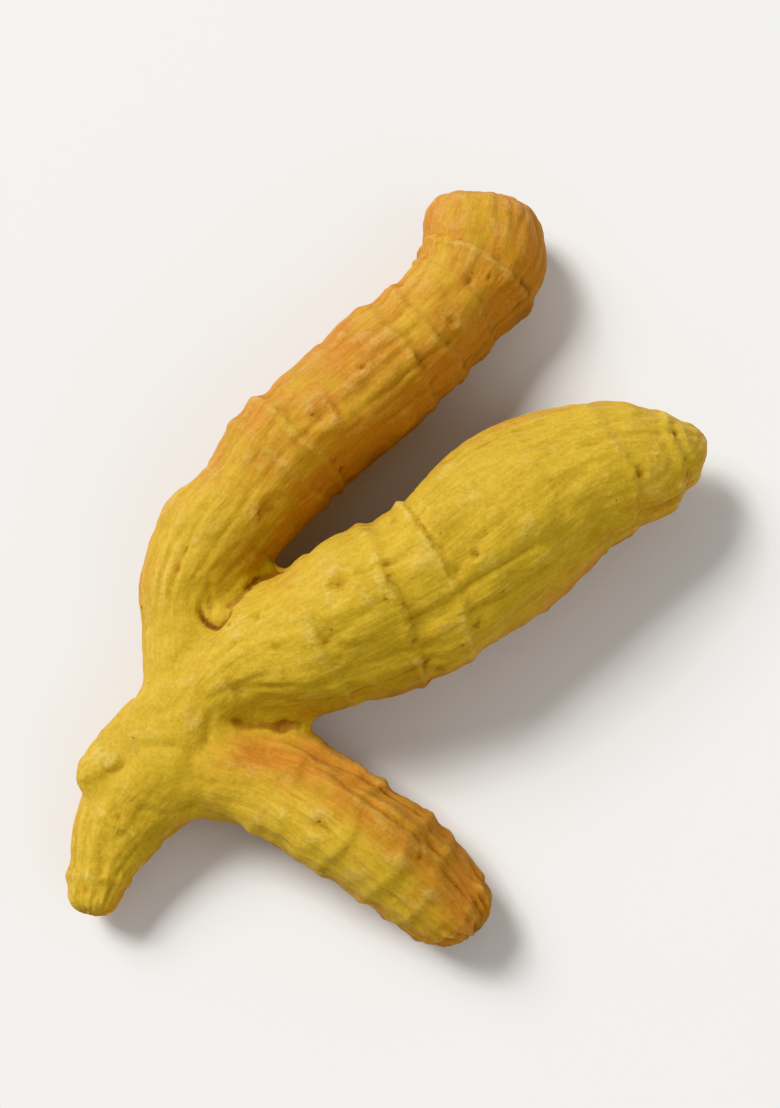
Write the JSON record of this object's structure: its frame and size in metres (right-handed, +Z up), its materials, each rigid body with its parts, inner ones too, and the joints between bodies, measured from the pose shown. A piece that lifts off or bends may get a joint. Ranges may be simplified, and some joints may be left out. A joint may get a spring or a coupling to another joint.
{
  "type": "dried turmeric root",
  "caption": "Branched dried turmeric rhizome with stubby ringed fingers growing from a short body, lying on a surface.",
  "frame": {"origin": "bottom centre of the bounding box, on the surface that the root rests on", "axes": "+Z up from the surface; +Y along the root's longest reach, towards the head of the long finger; +X towards the tip of the fat finger"},
  "size_m": [0.0499, 0.0599, 0.0145],
  "materials": {
    "turmeric_skin": "dry, matt and powdery, golden yellow with orange-brown creases"
  },
  "bodies": {
    "root": {"turmeric_rhizome": "turmeric_skin"}
  },
  "joints": []
}
